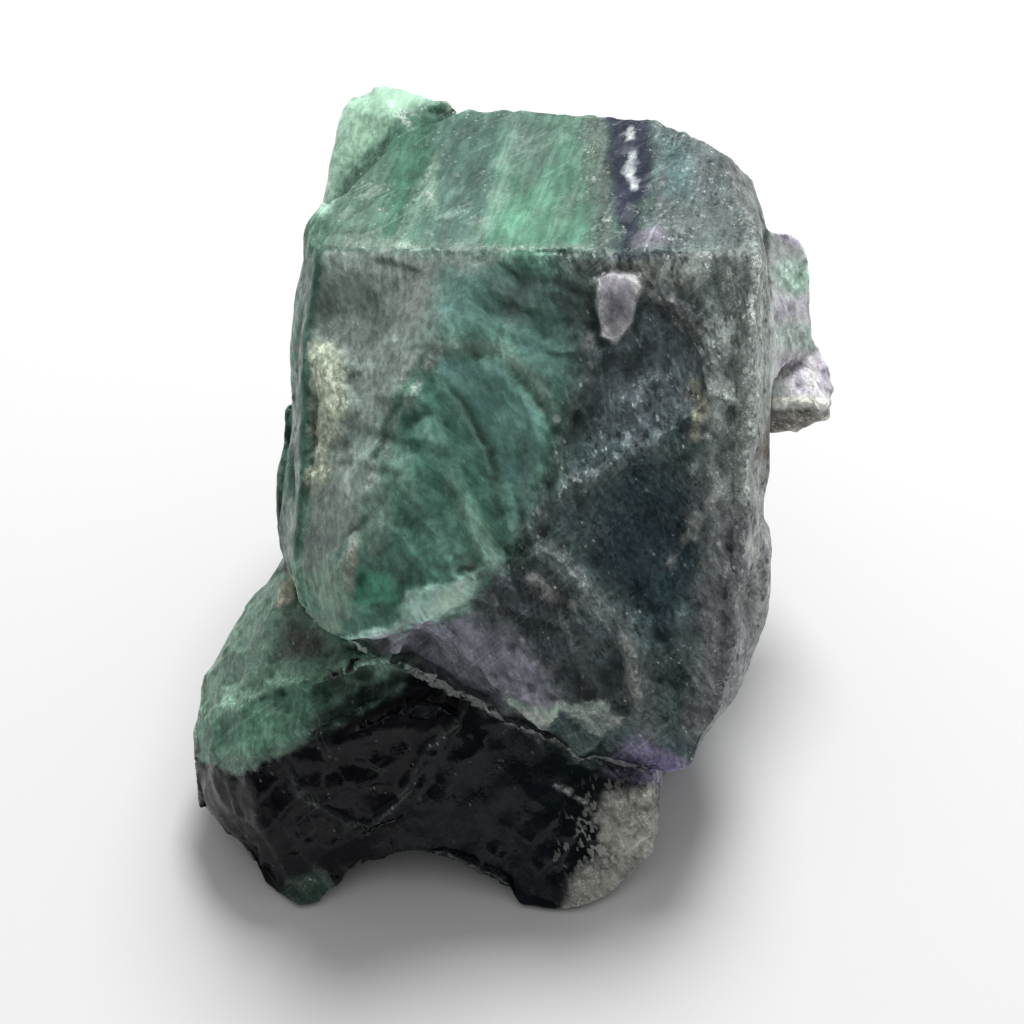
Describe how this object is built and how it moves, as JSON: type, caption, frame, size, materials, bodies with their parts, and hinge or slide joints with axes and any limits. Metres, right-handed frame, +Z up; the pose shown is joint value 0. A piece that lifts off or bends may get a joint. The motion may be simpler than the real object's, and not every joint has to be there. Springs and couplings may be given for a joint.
{
  "type": "fluorite crystal",
  "caption": "Rough broken piece of green and purple fluorite with a straight ridge, a flat crown and two low feet, standing on four flat spots of its break.",
  "frame": {"origin": "under the middle of the stone's box, on the surface that it stands on", "axes": "+Z up, -Y towards the broken front with its two feet, +X towards the lobe that stands out behind at the right"},
  "size_m": [0.0738, 0.0744, 0.0645],
  "materials": {
    "fluorite": "satin"
  },
  "bodies": {
    "root": {"fluorite": "fluorite"}
  },
  "joints": []
}
